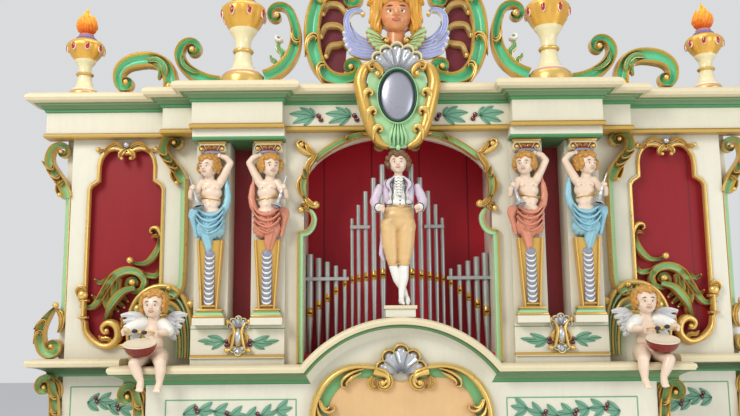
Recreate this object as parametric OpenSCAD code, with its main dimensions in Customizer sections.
// Fairground organ: a carved and painted front on a hollow board case.
// +Z is up, the front faces -Y, X = 0 is the middle of the organ.
// Inside facade() y = 0 is the plane of the side panels.

/* [Overall] */
// Half width of the case and of the upper front boards
front_half_w = 1470; // [1440:5:1560]
// Depth of the case behind the side panels
case_depth = 800; // [600:10:1000]
// Height of the top of the cornice
cornice_z = 2640; // [2630:5:2700]
// Height of the shelf over the lower front
shelf_z = 1462; // [1440:2:1480]
// Thickness of the case and front boards
board_t = 30; // [20:1:36]

/* [Base] */
// Height of the base plinth
plinth_h = 120; // [80:5:160]
// Thickness of the plinth rails
plinth_t = 60; // [40:5:80]
// Thickness of the case floor
floor_t = 25; // [18:1:30]

/* [Lower front] */
// Half width of the forward lower front
lower_half_w = 1020; // [1000:5:1040]
// How far the lower front stands before the side panels
lower_reach = 230; // [220:5:250]
// How far the forward shelf's bed overhangs the sides of the lower front
shelf_overhang = 90; // [80:5:100]
// How far a shelf end reaches past its bed
shelf_return = 50; // [40:2:60]
// Thickness of the shelf boards
shelf_t = 35; // [28:1:42]
// How far the shelf moulding stands before the lower front
shelf_nose = 76; // [70:2:90]
// Height of the arch in the shelf over its straight parts
arch_rise = 186; // [170:2:200]
// Half width of the arch, measured on the shelf top
arch_half_w = 399; // [390:1:402]
// Step up from the forward shelf to the side shelves
side_shelf_step = 28; // [20:1:40]
// How far the side shelf moulding stands before the side panels
side_shelf_reach = 130; // [110:5:150]
// How far the side shelf's bed overhangs the sides of the case
side_shelf_overhang = 36; // [20:2:50]
// Height of the scroll brackets on the ends of the lower front
bracket_h = 560; // [450:10:640]
// Width of the title cartouche
title_w = 740; // [700:10:780]
// Height of the title cartouche
title_h = 420; // [400:10:440]

/* [Cornice] */
// Height of the frieze with the mouldings above and below it
entablature_h = 190; // [180:2:200]
// How far the cornice edge stands before its frieze
corona_reach = 76; // [70:2:84]
// How far the cornice's frieze overhangs the sides of the case
wing_overhang = 75; // [60:5:80]
// Frieze of the side panels, before the panel plane
wing_front = 42; // [30:2:50]
// Frieze of the breaks beside the figure bays
break_front = 112; // [100:2:120]
// Frieze of the figure bays
bay_front = 200; // [190:2:210]
// Frieze between the figure bays
centre_front = 140; // [130:2:150]
// Inner edge of the figure bays
bay_in = 487; // [484:1:495]
// Width of the figure bays
bay_w = 384; // [380:1:396]
// Width of the breaks beside the figure bays
break_w = 145; // [135:1:155]

/* [Openings] */
// Half width of the pipe opening
niche_half_w = 402; // [400:1:408]
// Height of the top of the pipe opening
niche_top_z = 2430; // [2422:2:2436]
// How far the centre boards stand before the side panels
centre_board_front = 95; // [90:1:100]
// Depth of the pipe recess behind the centre boards
niche_depth = 250; // [220:5:280]
// Distance from the side of the case to the side panel opening
panel_margin = 112; // [106:1:120]
// Width of the side panel opening
panel_w = 328; // [310:2:340]
// Lower edge of the side panel opening, above the side shelf
panel_rise = 55; // [45:5:70]
// Height of the side panel opening
panel_h = 864; // [850:2:866]
// Width of the gilt moulding round the side panel opening
panel_rim = 16; // [12:1:20]

/* [Piers] */
// Width of the pier boards behind the figures
pier_w = 142; // [136:1:146]
// How far the pier boards stand before the side panels
pier_front = 120; // [112:2:128]
// Height of the pedestals under the piers
pedestal_h = 162; // [150:2:180]
// Depth of the gilt shafts before the piers
shaft_depth = 46; // [40:2:50]
// Height of the gilt shafts
shaft_h = 285; // [260:5:300]
// Height of the capitals
capital_h = 44; // [36:2:50]
// Height of the lintels over the piers
lintel_h = 48; // [40:2:54]

/* [Pipes] */
// Height of the wind chest above the shelf
chest_h = 40; // [30:2:60]
// Diameter of the outermost pipes
outer_pipe_d = 30; // [26:1:32]
// Diameter of the pipes beside the middle
inner_pipe_d = 27; // [24:1:30]
// Height of the longest pipes above the wind chest
long_pipe_h = 829; // [780:1:860]
// Height of the outermost pipes above the wind chest
short_pipe_h = 430; // [380:1:470]
// Height of the mouths of the inner pipes above the wind chest
mouth_h = 333; // [300:1:360]

/* [Bandmaster] */
// Height of the stand that carries the bandmaster
stand_h = 46; // [40:1:60]
// Turn of the head to either side, in degrees
head_turn = 30; // [10:1:35]
// Running gap at the neck and the shoulders
figure_gap = 0.3; // [0.2:0.1:0.6]

/* [Crown] */
// Height of the flame finials above the cornice
finial_h = 413; // [380:1:430]
// Distance from the side of the case to the middle of the flame finials
finial_inset = 82; // [70:1:100]
// Height of the inner urns above the cornice
urn_h = 545; // [520:1:560]
// Height of the crest frame above the cornice
crest_h = 466; // [450:1:480]
// Height of the crest bust above the cornice
bust_h = 468; // [460:2:500]

/* [Hidden] */
$fn = 48;

// The cherubs' drums stand furthest to the front
drum_r = 66;
drum_tilt = 18;
drum_front = 60;
front_reach = lower_reach + shelf_nose;
total_depth = front_reach + drum_front + case_depth + board_t;
face_y = front_reach + drum_front - total_depth / 2;
floor_z = plinth_h + floor_t;
frieze_low_z = cornice_z - entablature_h;
side_shelf_z = shelf_z + side_shelf_step;
shelf_half_w = lower_half_w + shelf_overhang;
shelf_gap = 2;
roof_z = cornice_z - 2 * board_t;
bay_out = bay_in + bay_w;
break_out = bay_out + break_w;
arch_r = (arch_half_w * arch_half_w + arch_rise * arch_rise) / (2 * arch_rise);
arch_cz = shelf_z + arch_rise - arch_r;
// Half the bend where the straight shelf meets the arch
mitre = asin(arch_half_w / arch_r) / 2;
pedestal_z = shelf_z + pedestal_h;
plinth_block_h = 29;
shaft_foot_h = 37;
shaft_z = pedestal_z + plinth_block_h + shaft_foot_h;
shaft_top_z = shaft_z + shaft_h;
lintel_z = frieze_low_z - lintel_h;
capital_z = lintel_z - capital_h;
chest_z = shelf_z + chest_h;
stand_z = shelf_z + arch_rise;
niche_wall_x = niche_half_w + board_t;
centre_back_y = board_t - centre_board_front;
pier_edge = bay_in - 7;
pier_x_out = bay_out - 10 - pier_w / 2;
pier_x_in = pier_edge + pier_w / 2;
panel_out = front_half_w - panel_margin;
panel_in = panel_out - panel_w;
panel_low_z = side_shelf_z + panel_rise;
panel_top_z = panel_low_z + panel_h;
panel_mid_z = panel_top_z - 166;
finial_x = front_half_w - finial_inset;
urn_x = bay_in + bay_w / 2 - 15;
relief = 12;
scroll_t = 46;
// The front boards stop this far inside the case's sides, where the scrolls stand
scroll_w = 34;
roof_y = -50;
crest_y = -centre_front;

// Points on a quarter of a hollow curve
function cove(p0, z0, p1, z1, n = 6) =
    [for (i = [0:n]) [p0 + (p1 - p0) * (1 - cos(90 * i / n)), z0 + (z1 - z0) * sin(90 * i / n)]];

// Cornice outline: how far each level stands before the frieze
cornice_levels = concat(
    [[8, 0], [10, 8], [8, 16], [0, 20], [0, entablature_h - 78], [8, entablature_h - 74],
        [8, entablature_h - 68]],
    cove(12, entablature_h - 66, corona_reach - 26, entablature_h - 42),
    [[corona_reach - 22, entablature_h - 42], [corona_reach - 6, entablature_h - 36],
        [corona_reach, entablature_h - 24], [corona_reach - 4, entablature_h - 10],
        [corona_reach - 18, entablature_h]]);

function flip(pts) = [for (i = [len(pts) - 1:-1:0]) pts[i]];
function mirror_x(pts) = flip([for (p = pts) [-p[0], p[1]]]);
// An outline closed by its own mirror image across the middle
function both(pts) = concat(pts, mirror_x([for (p = pts) if (p[0] > 0) p]));
function mirror_z(pts, z) = flip([for (p = pts) [p[0], 2 * z - p[1]]]);

module facade() {
    translate([0, face_y, 0]) children();
}

module at_side(s) {
    if (s > 0) children();
    else mirror([1, 0, 0]) children();
}

module both_sides() {
    for (s = [-1, 1]) at_side(s) children();
}

// A 2D outline in x and z, standing upright from y_back towards the front by depth
module upright(y_back, depth) {
    translate([0, y_back, 0]) rotate([90, 0, 0]) linear_extrude(depth) children();
}

// A plate from x0, z0 to x1, z1 standing upright
module plate(x0, x1, z0, z1, y_back, depth) {
    translate([x0, y_back - depth, z0]) cube([x1 - x0, depth, z1 - z0]);
}

// Points on a cubic curve
function bez(a, b, c, d, n = 8) = [for (i = [0:n]) let (t = i / n, u = 1 - t)
    a * u * u * u + b * 3 * u * u * t + c * 3 * u * t * t + d * t * t * t];

// Points on a spiral, from radius r0 at angle a0 to radius r1 at angle a1
function spiral(c, r0, r1, a0, a1, n = 16) = [for (i = [0:n]) let (t = i / n,
    r = r0 * pow(r1 / r0, t), a = a0 + (a1 - a0) * t) c + r * [cos(a), sin(a)]];

// A curve that leaves the end of a line of points along its own direction
function run_on(line, k, c, d, n = 8) = let (e = line[len(line) - 1], v = unit(e - line[len(line) - 2]))
    concat(line, [for (i = [1:n]) bez(e, e + v * k, c, d, n)[i]]);

function unit(v) = v / max(norm(v), 0.0001);
function side_of(pts, i) = let (n = len(pts), d = unit(pts[min(i + 1, n - 1)] - pts[max(i - 1, 0)]))
    [-d[1], d[0]];
function strap_w(t, w0, w1, w2) = let (k = pow(sin(180 * t), 2))
    t < 0.5 ? w0 + (w1 - w0) * k : w2 + (w1 - w2) * k;
// How far along a line of points each of them lies, from 0 to 1
function along(pts) = let (n = len(pts), s = [for (i = 0, d = 0; i < n;
    d = d + (i + 1 < n ? norm(pts[i + 1] - pts[i]) : 0), i = i + 1) d]) s / s[n - 1];

// Outline of a strap along a line of points: w0 wide at its start, w1 in the middle, w2 at its end
function strap(pts, w0, w1, w2) = let (n = len(pts) - 1, t = along(pts))
    concat([for (i = [0:n]) pts[i] + side_of(pts, i) * strap_w(t[i], w0, w1, w2) / 2],
        [for (i = [n:-1:0]) pts[i] - side_of(pts, i) * strap_w(t[i], w0, w1, w2) / 2]);

// A closed outline that runs anticlockwise, grown outwards by g
function grown(pts, g) = let (n = len(pts)) [for (i = [0:n - 1]) let (
    a = unit(pts[i] - pts[(i + n - 1) % n]), b = unit(pts[(i + 1) % n] - pts[i]),
    m = unit([a[1] + b[1], -a[0] - b[0]]), k = max(0.5, m * [a[1], -a[0]])) pts[i] + m * g / k];

// A carved strap: a flat slab with a raised rib along its middle
module carved_strap(pts, y, t, w0, w1, w2) {
    upright(y, t * 0.7) polygon(strap(pts, w0, w1, w2));
    upright(y, t) polygon(strap(pts, w0 * 0.4, w1 * 0.4, w2 * 0.4));
}

// A round boss with its axis to the front
module boss(x, z, y, r, t) {
    translate([x, y, z]) rotate([90, 0, 0]) {
        cylinder(r = r, h = t * 0.6);
        cylinder(r1 = r * 0.8, r2 = r * 0.4, h = t);
    }
}

// Points on an upright oval
function oval(x, z, rx, rz, n = 28) = [for (i = [0:n - 1])
    [x + rx * cos(360 * i / n), z + rz * sin(360 * i / n)]];

// An outline of a shell with lobes, its hinge at x, z
function shell(x, z, r, lobes, spread = 75) = concat([[x, z]], [for (i = [0:lobes * 6]) let (
    a = 90 + spread - 2 * spread * i / (lobes * 6), b = r * (0.86 + 0.14 * abs(sin(180 * i / 6))))
    [x + b * cos(a), z + b * sin(a)]]);

module carved_shell(x, z, y, r, lobes, t) {
    upright(y, t * 0.6) polygon(shell(x, z, r, lobes));
    for (i = [0:lobes - 1]) let (a = 90 + 75 - 150 * (i + 0.5) / lobes)
        upright(y, t) polygon([for (p = [[0.3, -5], [0.88, -6], [0.88, 6], [0.3, 5]])
            [x + r * p[0] * cos(a + p[1]), z + r * p[0] * sin(a + p[1])]]);
}

// A leaf from its root along a curve to its tip
module leaf(root, bend, tip, y, t, w) {
    upright(y, t) polygon(strap(bez(root, (root + bend) / 2, bend, tip, 6), 5, w, 2));
}

// A block whose front and chosen ends follow a moulding outline of [reach, height]
module moulded_block(x0, x1, y_front, y_back, z0, levels, left = 0, right = 0) {
    top = levels[len(levels) - 1][1];
    intersection() {
        translate([x0 - 400, 0, 0]) rotate([90, 0, 90]) linear_extrude(x1 - x0 + 800)
            polygon(concat([for (p = levels) [y_front - p[0], z0 + p[1]]],
                [[y_back, z0 + top], [y_back, z0 + levels[0][1]]]));
        upright(y_back + 10, y_back - y_front + 400)
            polygon(concat([for (p = levels) [x1 + right * p[0], z0 + p[1]]],
                flip([for (p = levels) [x0 - left * p[0], z0 + p[1]]])));
    }
}

// Outline of the base seen from above, grown by g
module base_outline(g) {
    translate([-front_half_w - g, -g]) square([2 * front_half_w + 2 * g, case_depth + board_t + 2 * g]);
    translate([-lower_half_w - g, -lower_reach - g])
        square([2 * lower_half_w + 2 * g, lower_reach + 2 * g]);
}

module base_plinth() color("olivedrab") facade() difference() {
    linear_extrude(plinth_h) base_outline(0);
    translate([0, 0, -1]) linear_extrude(plinth_h + 2) base_outline(-plinth_t);
}

module case_floor() color("tan") facade()
    translate([0, 0, plinth_h]) linear_extrude(floor_t) base_outline(0);

module case_side(s) at_side(s) color("firebrick") facade()
    translate([front_half_w - board_t, board_t, floor_z])
        cube([board_t, case_depth - board_t, roof_z - floor_z]);

module case_back() color("firebrick") facade()
    translate([-front_half_w, case_depth, floor_z]) cube([2 * front_half_w, board_t, roof_z - floor_z]);

module case_roof() color("dimgray") facade()
    translate([-front_half_w, board_t, roof_z]) cube([2 * front_half_w, case_depth, board_t]);

module lower_wing(s) at_side(s) color("ivory") facade()
    plate(lower_half_w, front_half_w - scroll_w, floor_z, side_shelf_z - shelf_t, board_t, board_t);

module lower_front() color("ivory") facade() {
    z1 = shelf_z - shelf_t;
    plate(-lower_half_w, lower_half_w, floor_z, z1, board_t - lower_reach, board_t);
    both_sides() plate(lower_half_w - board_t, lower_half_w, floor_z, z1, 0, lower_reach);
    intersection() {
        translate([0, board_t - lower_reach, arch_cz]) rotate([90, 0, 0])
            cylinder(r = arch_r - shelf_t, h = board_t, $fn = 96);
        plate(-arch_half_w, arch_half_w, z1 - 50, z1 + arch_rise, board_t - lower_reach + 1, board_t + 2);
    }
}

// Shelf outline as [distance to the front, depth below the top]: back edge, nose, hollow, face
function shelf_outline(back, reach, face, t) = concat(
    [[back, 0], [reach - 24, 0], [reach - 6, -7], [reach, -17], [reach - 3, -30], [reach - 14, -t]],
    [for (i = [0:5]) [reach - 20 - (reach - 26 - face) * sin(18 * i), -t - 26 + 26 * cos(18 * i)]],
    [[face, -t - 40], [face, -t], [back, -t]]);

// End outline of a shelf whose bed ends at x and whose nose reaches out by r
function shelf_end(x, z, r) = [for (p = [[0, -60], [0, -20], [0.76, 0], [1, 15], [1, 28], [0.5, 45]])
    [x + p[0] * r, z - shelf_t + p[1]]];

module side_shelf(s) at_side(s) color("beige") facade() {
    x0 = shelf_half_w + shelf_return + shelf_gap;
    x1 = front_half_w + side_shelf_overhang;
    z = side_shelf_z;
    intersection() {
        translate([lower_half_w, 0, z]) rotate([90, 0, 90]) linear_extrude(900)
            polygon([for (p = shelf_outline(-board_t, side_shelf_reach, 0, shelf_t)) [-p[0], p[1]]]);
        union() {
            upright(0, 500) polygon(concat([[x0, z - shelf_t - 60]], shelf_end(x1, z, shelf_return),
                [[x0, z + 10]]));
            plate(lower_half_w, front_half_w, z - 2 * shelf_t, z, 100, 100);
        }
    }
}

module side_shelves() {
    side_shelf(1);
    side_shelf(-1);
}

// The outer side, or the inner part, of the mitres between straight shelf and arch
module mitre_side(inner) {
    d = [-sin(mitre), -cos(mitre)] * 300;
    low = [arch_half_w, shelf_z] + d;
    high = [arch_half_w, shelf_z] - d;
    far = shelf_half_w + 200;
    if (inner) upright(200, 700) polygon([[-high[0], high[1]], [-low[0], low[1]], low, high]);
    else both_sides() upright(200, 700) polygon([high, low, [far, low[1]], [far, high[1]]]);
}

module front_shelf() color("beige") facade() {
    ends = shelf_end(shelf_half_w, shelf_z, shelf_return);
    intersection() {
        translate([-shelf_half_w - 100, 0, shelf_z]) rotate([90, 0, 90])
            linear_extrude(2 * shelf_half_w + 200)
                polygon([for (p = shelf_outline(-board_t, front_reach, lower_reach, shelf_t)) [-p[0], p[1]]]);
        union() {
            upright(0, 700) polygon(concat(ends, mirror_x(ends)));
            plate(-lower_half_w, lower_half_w, shelf_z - shelf_t, shelf_z, 2 * board_t, 2 * board_t);
        }
        mitre_side(false);
    }
    intersection() {
        translate([0, 0, arch_cz]) rotate([90, 0, 0]) rotate_extrude($fn = 120)
            polygon([for (p = shelf_outline(-centre_back_y, front_reach, lower_reach, shelf_t))
                [arch_r + p[1], p[0]]]);
        mitre_side(true);
    }
}

// Line of the title frame's right half, from the top volute round to the lower one
function title_line() = let (zc = title_z, top = title_h / 2 - 30, a = run_on(
    spiral([78, zc + top - 44], 8, 44, 540, 90), 150, [title_w / 2 - 36, zc + top - 60],
    [title_w / 2 - 36, zc])) concat(a, mirror_z([for (i = [0:len(a) - 2]) a[i]], zc));
title_z = shelf_z - 222;

module title_cartouche() color("goldenrod") facade() {
    y = -lower_reach;
    half = bez([0, title_z + title_h / 2 - 60], [200, title_z + title_h / 2 - 30],
        [title_w / 2 - 50, title_z + 150], [title_w / 2 - 50, title_z]);
    right = concat(half, mirror_z([for (i = [0:len(half) - 2]) half[i]], title_z));
    upright(y, 10) polygon(both(right));
    both_sides() carved_strap(title_line(), y, 30, 10, 60, 10);
    carved_shell(0, title_z + title_h / 2 - 18, y, 98, 3, 24);
    carved_shell(0, title_z - title_h / 2 - 8, y, 54, 3, 20);
}

// A standing scroll bracket on the end of a board at x, its top at z
module bracket(x, z, y, t, h) {
    w = 46;
    c = [x + 74, z - 38];
    line = run_on(spiral(c, 7, 38, 90 - 450, 90, 14), 60, [x + w / 2, z - 0.3 * h], [x + w / 2, z - 0.6 * h]);
    foot = spiral([x + 54, z - h + 34], 32, 7, 180, 180 + 400, 12);
    last = line[len(line) - 1];
    all = concat(line, [for (i = [1:4]) bez(last, last + [0, -60], foot[0] + [0, 60], foot[0], 5)[i]], foot);
    intersection() {
        carved_strap(all, y, t, 9, w, 9);
        plate(x, x + 200, z - h - 20, z + 20, y, t);
    }
}

module bracket_scrolls() color("goldenrod") facade() both_sides() {
    bracket(front_half_w - scroll_w, side_shelf_z - shelf_t - 46, board_t, 40, bracket_h);
    bracket(lower_half_w, shelf_z - shelf_t - 42, 50 - lower_reach, 50, bracket_h);
}

// Outline of the side panel opening for the right side, anticlockwise
function panel_outline() = let (xc = (panel_in + panel_out) / 2, neck = 40, dip = 22, r = 90)
    concat(
        [for (i = [0:6]) [panel_in + r - r * cos(15 * i), panel_low_z + r - r * sin(15 * i)]],
        [for (i = [0:6]) [panel_out - r + r * sin(15 * i), panel_low_z + r - r * cos(15 * i)]],
        [[panel_out, panel_mid_z - 20], [panel_out - 10, panel_mid_z], [panel_out - neck, panel_mid_z + 20],
            [panel_out - neck, panel_top_z - 80]],
        bez([panel_out - neck - 6, panel_top_z - 50], [panel_out - neck - 30, panel_top_z + 8],
            [xc + 50, panel_top_z + 12], [xc + 8, panel_top_z - dip]),
        bez([xc - 8, panel_top_z - dip], [xc - 50, panel_top_z + 12],
            [panel_in + neck + 30, panel_top_z + 8], [panel_in + neck + 6, panel_top_z - 50]),
        [[panel_in + neck, panel_top_z - 80], [panel_in + neck, panel_mid_z + 20],
            [panel_in + 10, panel_mid_z], [panel_in, panel_mid_z - 20]]);

module upper_panel(s) at_side(s) color("ivory") facade() difference() {
    upright(board_t, board_t) polygon([[bay_out, shelf_z], [lower_half_w, shelf_z],
        [lower_half_w, side_shelf_z], [front_half_w - scroll_w, side_shelf_z],
        [front_half_w - scroll_w, frieze_low_z], [bay_out, frieze_low_z]]);
    upright(board_t + 1, board_t + 2) polygon(panel_outline());
}
module red_boards() color("darkred") facade() both_sides()
    plate(panel_in - 40, panel_out + 40, panel_low_z - 30, panel_top_z + 30, board_t + 18, 18);

// The acanthus spray on the red board, its root at the panel's outer edge
module acanthus(y, t) {
    x = panel_out;
    z = panel_low_z;
    stem = concat(bez([x - 2, z + 190], [x - 10, z + 140], [x - 62, z + 160], [x - 90, z + 240]),
        [for (i = [1:8])
            bez([x - 90, z + 240], [x - 130, z + 350], [x - 230, z + 370], [x - 262, z + 300])[i]],
        spiral([x - 222, z + 266], 44, 12, 150, 150 + 330, 10));
    upright(y, t) polygon(strap(stem, 14, 30, 8));
    leaf([x - 60, z + 170], [x - 66, z + 240], [x - 44, z + 285], y, t - 8, 30);
    leaf([x - 80, z + 200], [x - 130, z + 170], [x - 120, z + 105], y, t - 8, 34);
    leaf([x - 110, z + 270], [x - 160, z + 240], [x - 148, z + 160], y, t - 8, 32);
    leaf([x - 160, z + 320], [x - 200, z + 270], [x - 188, z + 190], y, t - 8, 30);
    leaf([x - 200, z + 330], [x - 250, z + 360], [x - 300, z + 335], y, t - 8, 26);
}

module panel_mouldings() color("gold") facade() both_sides() {
    xc = (panel_in + panel_out) / 2;
    z = panel_low_z;
    y = board_t;
    difference() {
        upright(0, relief) polygon(grown(panel_outline(), panel_rim));
        upright(1, relief + 2) polygon(panel_outline());
    }
    boss(xc, panel_top_z + 16, 0, 20, 34);
    // Carving on the red board inside the opening
    intersection() {
        upright(y, y + 60) polygon(grown(panel_outline(), -0.3));
        union() {
            upright(y, 36) polygon([[xc - 20, panel_top_z - 10], [xc - 6, panel_top_z - 66],
                [xc, panel_top_z - 74], [xc + 6, panel_top_z - 66], [xc + 20, panel_top_z - 10]]);
            acanthus(y, y + 8);
            upright(y, y + 4) polygon(strap(bez([panel_in + 46, z + 500], [panel_in + 6, z + 440],
                [panel_in + 18, z + 360], [panel_in + 70, z + 350]), 6, 26, 10));
            boss(panel_in + 104, z + 360, y, 18, y + 8);
            upright(y, y + 6) polygon(strap(concat(bez([panel_out - 170, z + 14],
                [panel_out - 130, z - 2], [panel_out - 66, z - 4], [panel_out - 48, z + 60]),
                spiral([panel_out - 92, z + 66], 44, 12, 10, 300, 10)), 14, 22, 8));
        }
    }
}

// The scrolls of the side pilaster, at the edge of the upper front
module outer_pilaster() {
    x = front_half_w - scroll_w;
    top = frieze_low_z - 46;
    low = side_shelf_z;
    t = board_t + 14;
    line = run_on(spiral([x + 50, top - 10], 8, 50, 450, 0, 18), 100,
        [x + 22, top - 150], [x + 19, top - 230]);
    foot = run_on(spiral([x + 54, low + 54], 8, 46, -450, 0, 18), 80,
        [x + 100, low + 190], [x + 44, low + 222]);
    intersection() {
        union() {
            carved_strap(concat(line, [[x + 19, top - 640], [x + 17, low + 150]]), board_t, t, 8, 32, 36);
            carved_strap(foot, board_t, t, 8, 30, 22);
            boss(x + 40, low + 226, board_t, 17, t);
            leaf([x + 30, top - 96], [x + 64, top - 110], [x + 52, top - 180], board_t, t - 6, 26);
        }
        plate(x, x + 300, low, frieze_low_z, board_t, t + 10);
    }
}

// The scroll bracket beside the figure bay, under the break in the cornice
module inner_pilaster() {
    x = bay_out;
    top = frieze_low_z - 30;
    line = run_on(spiral([x + 100, top - 2], 8, 46, 450, 0, 18), 100,
        [x + 74, top - 150], [x + 61, top - 260]);
    intersection() {
        union() {
            carved_strap(concat(line, [[x + 61, top - 420], [x + 62, top - 600]]), 0, 70, 8, 34, 32);
            carved_strap(
                bez([x + 62, top - 580], [x + 62, top - 660], [x + 120, top - 660], [x + 112, top - 610]),
                0, 50, 30, 26, 10);
            leaf([x + 80, top - 80], [x + 108, top - 110], [x + 92, top - 180], 0, 56, 26);
            carved_strap(bez([x + 130, side_shelf_z + 240], [x + 70, side_shelf_z + 250],
                [x + 50, side_shelf_z + 150], [x + 74, side_shelf_z + 40]), 0, 44, 16, 44, 24);
        }
        plate(x, x + 260, side_shelf_z + 30, frieze_low_z, 0, 100);
    }
}

module side_scrolls(s) at_side(s) color("mediumseagreen") facade() {
    outer_pilaster();
    inner_pilaster();
}

module pier_block(s) at_side(s) color("ivory") facade() {
    depth = pier_front + board_t;
    plate(pier_edge, bay_out, shelf_z, pedestal_z, board_t, depth);
    plate(pier_edge, bay_out, shelf_z + 26, shelf_z + 38, board_t, depth + 10);
    for (x = [pier_x_in, pier_x_out]) {
        plate(x - pier_w / 2, x + pier_w / 2, pedestal_z, lintel_z, board_t, depth);
        plate(x - 66, x + 66, pedestal_z, pedestal_z + plinth_block_h, board_t, depth + shaft_depth + 8);
    }
    plate(pier_x_in, pier_x_out, pedestal_z, lintel_z, board_t, 12);
    plate(pier_edge, bay_out, lintel_z, frieze_low_z, board_t, board_t + bay_front - 20);
}

module gilt_shafts() color("gold") facade() both_sides() for (x = [pier_x_in, pier_x_out]) {
    y = -pier_front;
    z0 = pedestal_z + plinth_block_h;
    for (step = [[0, 12, 64, 8], [12, 26, 52, 0], [26, 37, 58, 5]])
        plate(x - step[2], x + step[2], z0 + step[0], z0 + step[1], y, shaft_depth + step[3] - 2);
    upright(y, shaft_depth) polygon([[x - 36, shaft_z], [x + 36, shaft_z], [x + 56, shaft_top_z],
        [x - 56, shaft_top_z]]);
    upright(y, shaft_depth + 8) polygon([[x - 20, shaft_z + 12], [x + 20, shaft_z + 12],
        [x + 26, shaft_z + 212], [x, shaft_z + 236], [x - 26, shaft_z + 212]]);
    plate(x - 50, x + 50, capital_z, capital_z + capital_h, y, shaft_depth - 6);
    for (s = [-1, 1]) boss(x + s * 46, capital_z + capital_h / 2, y, capital_h / 2 - 1, shaft_depth + 6);
}

module pedestal_jewels() color("silver") facade() both_sides() {
    x = (pier_x_in + pier_x_out) / 2;
    z = shelf_z + 112;
    y = -pier_front;
    upright(y, 20) polygon(oval(x, z - 2, 20, 34));
    upright(y, 26) polygon(oval(x, z - 2, 13, 27));
    for (s = [-1, 1]) upright(y, 22) polygon(strap([for (p = bez([44, 60], [8, 30], [22, -24], [42, -52]))
        [x + s * p[0], z + p[1]]], 16, 12, 18));
    upright(y, 18) polygon(oval(x, z + 43, 24, 16, 16));
    upright(y, 26) polygon(oval(x, z + 66, 13, 13, 12));
    for (s = [-1, 1]) upright(y, 22) polygon(oval(x + s * 24, z + 54, 9, 9, 10));
    upright(y, 18) polygon(oval(x, z - 45, 20, 14, 16));
}

module limb(a, ra, b, rb, n = 10) {
    hull() {
        translate(a) sphere(r = ra, $fn = n);
        translate(b) sphere(r = rb, $fn = n);
    }
}

// A carved figure over a gilt shaft: one arm behind the head, the other holds a trumpet down.
// turn is 1 where the trumpet is on the outer side.
module caryatid(x, turn, dress) color(dress) facade() intersection() {
    plate(x - 200, x + 200, shaft_top_z, capital_z - 1, -pier_front, 300);
    translate([x, -pier_front - 30, shaft_top_z]) scale([turn, 1, 1]) {
        hull() {
            translate([14, -8, 311]) sphere(r = 45, $fn = 12);
            translate([14, -20, 296]) sphere(r = 34, $fn = 12);
        }
        limb([8, 0, 280], 17, [2, 4, 246], 23, 8);
        hull() {
            translate([-32, 0, 238]) sphere(r = 20, $fn = 8);
            translate([34, 0, 236]) sphere(r = 20, $fn = 8);
            translate([0, -4, 165]) sphere(r = 33, $fn = 10);
        }
        hull() {
            translate([0, -4, 165]) sphere(r = 32, $fn = 10);
            translate([-4, -2, 110]) sphere(r = 42, $fn = 10);
        }
        hull() {
            translate([-4, -2, 110]) sphere(r = 42, $fn = 10);
            translate([6, 0, 0]) sphere(r = 26, $fn = 10);
        }
        limb([-36, -4, 238], 17, [-74, -12, 316], 15, 8);
        limb([-74, -12, 316], 14, [-24, -2, 344], 12, 8);
        limb([36, -4, 234], 17, [80, -24, 186], 15, 8);
        limb([80, -24, 186], 13, [68, -44, 214], 12, 8);
        limb([86, -46, 258], 5, [60, -50, 190], 7, 8);
        limb([60, -50, 190], 7, [46, -54, 142], 20, 8);
    }
}

// Outline of the pipe opening
function niche_outline() = let (spring = niche_top_z - 230) concat(
    [[-niche_half_w, shelf_z - 20], [niche_half_w, shelf_z - 20]],
    [for (i = [0:24]) [niche_half_w * cos(7.5 * i), spring + 230 * sin(7.5 * i)]]);

module centre_board(s) at_side(s) color("ivory") facade() {
    difference() {
        plate(0, pier_edge, shelf_z, frieze_low_z, centre_back_y, board_t);
        upright(centre_back_y + 1, board_t + 2) polygon(niche_outline());
    }
    plate(niche_half_w, niche_wall_x, shelf_z, frieze_low_z, centre_back_y + niche_depth,
        niche_depth);
}

module centre_scrollwork() color("mediumseagreen") facade() both_sides() {
    y = -centre_board_front;
    x = niche_half_w;
    top = niche_top_z;
    t = 22;
    arch = run_on(spiral([82, top - 48], 7, 38, 450, 90, 12), 80, [x - 130, top - 36], [x - 50, top - 96]);
    carved_strap(arch, y, t, 10, 26, 20);
    boss(x + 14, top - 52, y, 17, t + 6);
    carved_strap(bez([x - 56, top - 82], [x - 20, top - 10], [x + 30, top - 10], [x + 14, top - 52]),
        y, t, 10, 20, 12);
    carved_strap(bez([x - 38, top - 104], [x + 2, top - 170], [x + 20, top - 260], [x - 52, top - 300]),
        y, t, 14, 28, 16);
    boss(x - 54, top - 302, y, 16, t + 6);
    carved_strap(bez([x + 14, top - 316], [x - 50, top - 330], [x - 54, top - 410], [x + 14, top - 426]),
        y, t, 14, 24, 26);
    upright(y, t * 0.7) polygon([[x, shelf_z], [x + 26, shelf_z], [x + 26, top - 416], [x, top - 430]]);
    upright(y, t) polygon([[x + 14, shelf_z], [x + 26, shelf_z], [x + 26, top - 416], [x + 14, top - 424]]);
}

module pipe_chest() color("sienna") facade()
    plate(-niche_half_w, niche_half_w, shelf_z, chest_z, centre_back_y + niche_depth - 20, niche_depth - 20);

module pipe_back() color("darkred") facade() {
    y = centre_back_y + niche_depth;
    plate(-niche_half_w, niche_half_w, shelf_z, frieze_low_z, y, 20);
    plate(-niche_wall_x, niche_wall_x, frieze_low_z, frieze_low_z + 20, y, y - board_t);
}

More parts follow.
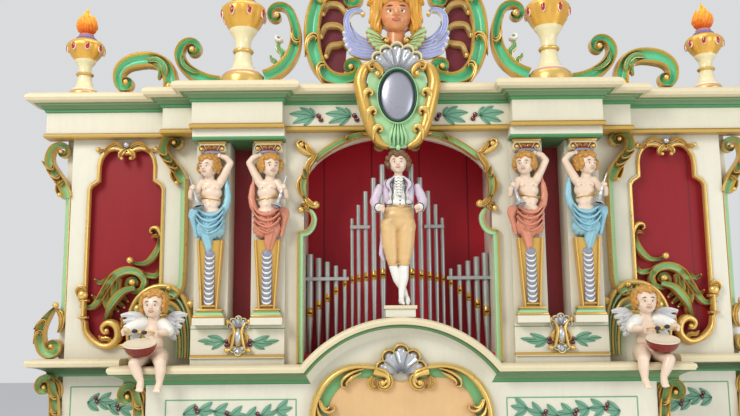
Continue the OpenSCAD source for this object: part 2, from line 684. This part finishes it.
// One organ pipe: a conical foot, a mouth and a cylindrical body
module pipe(x, d, mouth, top) {
    r = d / 2;
    difference() {
        translate([x, pipe_y, chest_z]) union() {
            cylinder(r1 = 5, r2 = r, h = mouth, $fn = 24);
            translate([0, 0, mouth]) cylinder(r = r, h = top - mouth, $fn = 24);
        }
        translate([x, pipe_y, chest_z + top - 14]) cylinder(r = r - 2, h = 20, $fn = 24);
        translate([x - r * 0.6, pipe_y - r - 1, chest_z + mouth + 4]) cube([1.2 * r, r * 0.7, 0.7 * d]);
    }
}
pipe_y = 30;

module pipes(s) color("silver") facade() at_side(s) {
    for (i = [0:4]) pipe(niche_half_w - 18 - 38 * i, outer_pipe_d * (1 - i * 0.1),
        mouth_h - 165 + 31 * i, short_pipe_h - 17 * i);
    for (j = [0:4]) pipe(64 + 41 * j - 1.8 * j * j, inner_pipe_d * (1 - j * 0.1),
        mouth_h - 6 * j, long_pipe_h - 60.5 * j);
}

module pipe_rails() color("white") facade() both_sides() {
    plate(214, niche_half_w, chest_z + short_pipe_h - 116, chest_z + short_pipe_h - 102,
        pipe_y - outer_pipe_d / 2 - figure_gap, 9);
    plate(120, 206, chest_z + long_pipe_h - 288, chest_z + long_pipe_h - 274,
        pipe_y - inner_pipe_d * 0.4 - figure_gap, 9);
}

module cornice_side(s) at_side(s) color("beige") facade() {
    moulded_block(break_out - 40, front_half_w + wing_overhang, -wing_front, board_t, frieze_low_z,
        cornice_levels, right = 1);
    moulded_block(bay_out - 40, break_out, -break_front, board_t, frieze_low_z, cornice_levels, right = 1);
    moulded_block(bay_in, bay_out, -bay_front, board_t, frieze_low_z, cornice_levels, left = 1, right = 1);
}

module cornice_centre() color("beige") facade()
    moulded_block(-bay_in, bay_in, -centre_front, board_t, frieze_low_z, cornice_levels,
        left = -1, right = -1);

// Keeps what stands above the cornice
module on_cornice() {
    intersection() {
        translate([-2000, -400, cornice_z]) cube([4000, 500, 900]);
        children();
    }
}

module roof_scrolls() color("gold") facade() both_sides() on_cornice() {
    z = cornice_z;
    a = break_out;
    carved_strap(bez([a + 180, z + 6], [a + 230, z + 196], [a - 20, z + 220], [a - 30, z - 4]),
        roof_y, scroll_t, 24, 58, 46);
    boss(a + 150, z + 46, roof_y, 24, scroll_t);
    carved_strap(run_on(spiral([a - 116, z + 196], 9, 50, 510, -60, 20), 40, [a - 180, z + 60],
        [a - 220, z - 4]), roof_y - 20, scroll_t, 10, 34, 44);
    boss(a - 116, z + 196, roof_y - 20, 12, scroll_t);
    carved_strap(run_on(spiral([bay_in + 26, z + 308], 9, 64, -270, 180, 20), 120,
        [bay_in - 50, z + 70], [bay_in + 62, z + 6]), roof_y - 100, scroll_t, 10, 46, 40);
}

module flame_finials() color("gold") facade() both_sides()
    translate([finial_x, wing_front - 76, cornice_z]) rotate_extrude() polygon(concat(
        [[0, 0], [66, 0], [66, 12], [58, 16], [58, 26], [54, 30]],
        bez([54, 32], [36, 40], [30, 60], [30, 92], 5),
        [[38, 94], [38, 104], [29, 108], [27, 130], [34, 142], [46, 152],
            [46, 162]],
        bez([46, 164], [76, 190], [88, 226], [78, 240]), bez([74, 244], [62, 262], [46, 262], [38, 262], 4),
        [[30, 266], [26, 278], [32, 290]],
        bez([32, 292], [70, 330], [52, 360], [20, finial_h - 14]), [[0, finial_h]]));

module urns() color("gold") facade() both_sides()
    translate([urn_x, -150, cornice_z]) rotate_extrude() polygon(concat(
        [[0, 0], [90, 0], [90, 46], [80, 52], [80, 60], [70, 64]],
        bez([70, 66], [46, 76], [36, 110], [36, 150], 5),
        [[44, 152], [44, 166], [35, 170], [34, 200], [40, 222], [60, 244],
            [60, 256]],
        bez([60, 258], [88, 284], [104, 330], [94, 348]), bez([90, 352], [76, 376], [56, 378], [46, 378], 4),
        [[38, 384], [34, 398], [40, 412]],
        bez([40, 414], [84, 452], [62, 490], [24, urn_h - 18]), [[0, urn_h]]));

module shield_cartouche() color("goldenrod") facade() {
    y = -centre_front - corona_reach - 1;
    z = frieze_low_z + 119;
    rim = bez([54, z - 220], [120, z - 170], [150, z - 20], [160, z + 40]);
    half = concat([[0, z - 222]], rim, bez([160, z + 60], [150, z + 120], [110, z + 140], [80, z + 110]),
        [[0, z + 118]]);
    upright(y, 26) polygon(both(half));
    both_sides() {
        carved_strap(concat(bez([60, z - 160], [112, z - 120], [146, z - 10], [138, z + 60]),
            spiral([98, z + 84], 42, 10, -20, 300, 10)), y, 46, 16, 40, 10);
    }
    upright(y, 36) polygon(oval(0, z, 77, 113));
    upright(y, 44) polygon(oval(0, z, 68, 103));
    carved_shell(0, z + 96, y, 116, 5, 44);
    plate(-60, 60, frieze_low_z + 30, frieze_low_z + 106, -centre_front, corona_reach + 2);
}

// Line of the crest frame's right half, from the lower volute round to the upper one
function crest_line() = let (zc = cornice_z + crest_h / 2, low = run_on(
    spiral([196, cornice_z + 78], 8, 48, -540, -90, 18), 100, [364, zc - 160], [364, zc]))
    concat(low, mirror_z([for (i = [0:len(low) - 2]) low[i]], zc));

module crest_frame() color("goldenrod") facade() both_sides() on_cornice() {
    zc = cornice_z + crest_h / 2;
    carved_strap(crest_line(), crest_y, 56, 10, 70, 10);
    board = bez([150, zc - 170], [380, zc - 180], [380, zc + 180], [150, zc + 170]);
    upright(crest_y, 14) polygon(board);
    for (rib = [-1, 0, 1]) let (z = zc + rib * 90)
        upright(crest_y, 40) polygon(strap(bez([324 - 12 * abs(rib), z - 24], [300, z + 20],
            [240, z + 24], [200, z - 14]), 14, 26, 16));
    // The feathered wing beside the bust
    for (i = [0:3]) upright(crest_y, 50 - 5 * i) polygon(strap(bez([60 + 8 * i, zc - 84 - 9 * i],
        [120, zc - 96 + 10 * i], [170 + 10 * i, zc - 50 + 16 * i], [212 - 6 * i, zc - 60 + 46 * i]),
        14, 38, 18));
    upright(crest_y, 48) polygon(strap(bez([204, zc + 30], [214, zc + 90], [160, zc + 100], [136, zc + 66]),
        26, 22, 10));
    upright(crest_y, 8) polygon([[40, cornice_z], [150, cornice_z], [190, zc - 100], [190, zc + 60],
        [100, zc - 60], [40, zc - 80]]);
}

module crest_bust() color("peru") facade() on_cornice() translate([0, crest_y - 20, cornice_z]) {
    intersection() {
        translate([-36, -56, 0]) cube([72, 116, bust_h]);
        limb([0, 0, 60], 60, [0, 0, 180], 36);
    }
    limb([0, -6, 150], 40, [0, -4, 240], 37);
    hull() {
        translate([0, -14, 318]) sphere(r = 74, $fn = 16);
        translate([0, -30, 268]) sphere(r = 48, $fn = 14);
    }
    hull() {
        translate([0, 4, bust_h - 78]) sphere(r = 78, $fn = 14);
        translate([0, 14, 320]) sphere(r = 72, $fn = 14);
    }
    for (s = [-1, 1]) {
        limb([66 * s, -6, 400], 40, [86 * s, -4, 330], 34, 8);
        limb([86 * s, -4, 320], 34, [80 * s, -4, 262], 24, 8);
    }
}

module master_stand() color("ivory") facade() {
    y = master_y;
    translate([-60, y - 60, stand_z]) cube([120, 112, stand_h - 14]);
    translate([-66, y - 66, stand_z + stand_h - 14]) cube([132, 124, 14]);
}
master_y = -front_reach + 84;
neck_h = 524;
shoulder_x = 64;
shoulder_h = 488;

// The bandmaster stands with crossed legs, in coat and breeches
module master_body() color("white") facade() translate([0, master_y, stand_z + stand_h]) difference() {
    union() {
        limb([-2, -12, 16], 17, [26, 0, 156], 24);
        limb([10, 4, 16], 17, [-34, 0, 156], 24);
        limb([-2, -12, 14], 14, [-12, -40, 12], 12, 8);
        limb([10, 4, 14], 14, [26, -22, 12], 12, 8);
        limb([26, 0, 156], 27, [30, 4, 320], 38);
        limb([-34, 0, 156], 27, [-32, 4, 320], 38);
        hull() {
            translate([-36, 4, 318]) sphere(r = 38, $fn = 10);
            translate([36, 4, 318]) sphere(r = 38, $fn = 10);
            translate([0, 0, 396]) sphere(r = 44, $fn = 10);
        }
        hull() {
            translate([0, 0, 396]) sphere(r = 44, $fn = 10);
            translate([-40, 4, 490]) sphere(r = 26, $fn = 10);
            translate([40, 4, 490]) sphere(r = 26, $fn = 10);
        }
        hull() {
            translate([-56, 22, 330]) sphere(r = 16, $fn = 8);
            translate([-76, 26, 190]) sphere(r = 14, $fn = 8);
            translate([-30, 34, 200]) sphere(r = 14, $fn = 8);
        }
        translate([0, 0, 470]) cylinder(r = 24, h = neck_h - 470, $fn = 24);
    }
    translate([-300, -300, -100]) cube([600, 600, 100]);
    for (s = [-1, 1]) at_side(s) translate([shoulder_x, -40, 440]) cube([80, 80, 100]);
}
module master_head() color("peachpuff") facade() translate([0, master_y, stand_z + stand_h + neck_h]) {
    translate([0, 0, figure_gap]) cylinder(r = 18, h = 30, $fn = 24);
    hull() {
        translate([0, -6, 70]) sphere(r = 42, $fn = 14);
        translate([0, -14, 50]) sphere(r = 27, $fn = 12);
    }
    hull() {
        translate([0, 6, 74]) sphere(r = 47, $fn = 12);
        translate([0, 14, 44]) sphere(r = 32, $fn = 10);
    }
}

// An arm that beats about the round pad at its shoulder
module master_arm(s) color("white") facade() translate([0, master_y, stand_z + stand_h]) at_side(s) {
    x = shoulder_x + figure_gap;
    translate([x, 0, shoulder_h]) rotate([0, 90, 0]) cylinder(r = 22, h = 8, $fn = 32);
    intersection() {
        translate([x, -200, 300]) cube([100, 300, 230]);
        union() {
            limb([shoulder_x + 18, 2, shoulder_h], 24, [shoulder_x + 36, 0, 424], 20);
            limb([shoulder_x + 36, 0, 424], 20, [shoulder_x + 20, -56, 372], 16);
            limb([shoulder_x + 20, -56, 372], 15, [shoulder_x + 16, -84, 362], 12);
        }
    }
}

// A seated cherub with its legs over the shelf
module cherub(s) at_side(s) color("peachpuff") facade() translate([cherub_x, 0, shelf_z]) difference() {
    union() {
        hull() {
            translate([0, cherub_y, 44]) sphere(r = 50, $fn = 10);
            translate([0, cherub_y, 120]) sphere(r = 44, $fn = 10);
        }
        hull() {
            translate([-34, cherub_y, 176]) sphere(r = 24, $fn = 8);
            translate([38, cherub_y, 176]) sphere(r = 24, $fn = 8);
            translate([0, cherub_y, 110]) sphere(r = 44, $fn = 10);
        }
        limb([2, cherub_y, 180], 20, [2, cherub_y - 6, 216], 20, 8);
        hull() {
            translate([2, cherub_y - 8, 250]) sphere(r = 58, $fn = 14);
            translate([2, cherub_y - 28, 228]) sphere(r = 42, $fn = 12);
        }
        limb([44, cherub_y, 172], 26, [104, cherub_y - 30, 148], 20);
        limb([104, cherub_y - 30, 148], 18, [98, cherub_y - 84, 138], 13, 8);
        limb([-36, cherub_y, 168], 26, [-68, cherub_y - 36, 138], 20);
        limb([-68, cherub_y - 36, 138], 18, [-30, cherub_y - 84, 132], 13, 8);
        limb([22, cherub_y - 20, 34], 32, [30, knee_y, 10], 22);
        limb([-30, cherub_y - 20, 34], 32, [-72, knee_y, 10], 22);
        limb([30, knee_y, 10], 21, [2, knee_y, -60], 17);
        limb([-72, knee_y, 10], 21, [-72, knee_y, -64], 17);
        limb([2, knee_y, -66], 15, [-4, knee_y - 14, -76], 13, 8);
        limb([-72, knee_y, -68], 15, [-74, knee_y - 14, -80], 13, 8);
        // Wings
        for (w = [-1, 1]) hull() {
            translate([24 * w, cherub_y + 34, 150]) sphere(r = 10, $fn = 8);
            translate([118 * w, cherub_y + 44, 190]) sphere(r = 9, $fn = 8);
            translate([92 * w, cherub_y + 44, 124]) sphere(r = 8, $fn = 8);
        }
    }
    translate([-200, -front_reach - 1, -100]) cube([400, 600, 100]);
}
cherub_x = lower_half_w - 5;
cherub_y = -150;
knee_y = -front_reach - 28;

module kettledrums() color("firebrick") facade() both_sides()
    translate([cherub_x + 16, -front_reach - drum_front + drum_r * cos(drum_tilt), shelf_z + 90])
        rotate([drum_tilt, 0, 0]) translate([0, 0, -50]) rotate_extrude()
            polygon(concat([[0, 0]], [for (i = [1:6]) [(drum_r - 4) * sin(15 * i), 40 - 40 * cos(15 * i)]],
                [[drum_r, 40], [drum_r, 50], [drum_r - 3, 52], [0, 52]]));

base_plinth();
case_floor();
case_side(-1);  // case_side_left
case_side(1);  // case_side_right
case_back();
case_roof();
lower_wing(-1);  // lower_wing_left
lower_wing(1);  // lower_wing_right
lower_front();
side_shelves();
front_shelf();
title_cartouche();
bracket_scrolls();
upper_panel(-1);  // upper_panel_left
upper_panel(1);  // upper_panel_right
red_boards();
panel_mouldings();
side_scrolls(-1);  // side_scrolls_left
side_scrolls(1);  // side_scrolls_right
pier_block(-1);  // pier_block_left
pier_block(1);  // pier_block_right
gilt_shafts();
pedestal_jewels();
caryatid(-pier_x_out, -1, "lightblue");  // figure_left_outer
caryatid(-pier_x_in, 1, "salmon");  // figure_left_inner
caryatid(pier_x_in, -1, "salmon");  // figure_right_inner
caryatid(pier_x_out, 1, "lightblue");  // figure_right_outer
centre_board(-1);  // centre_board_left
centre_board(1);  // centre_board_right
centre_scrollwork();
pipe_chest();
pipe_back();
pipes(-1);  // pipes_left
pipes(1);  // pipes_right
pipe_rails();
cornice_side(-1);  // cornice_left
cornice_side(1);  // cornice_right
cornice_centre();
roof_scrolls();
flame_finials();
urns();
shield_cartouche();
crest_frame();
crest_bust();
master_stand();
master_body();
master_head();
master_arm(-1);  // master_arm_right
master_arm(1);  // master_arm_left
cherub(-1);  // cherub_left
cherub(1);  // cherub_right
kettledrums();
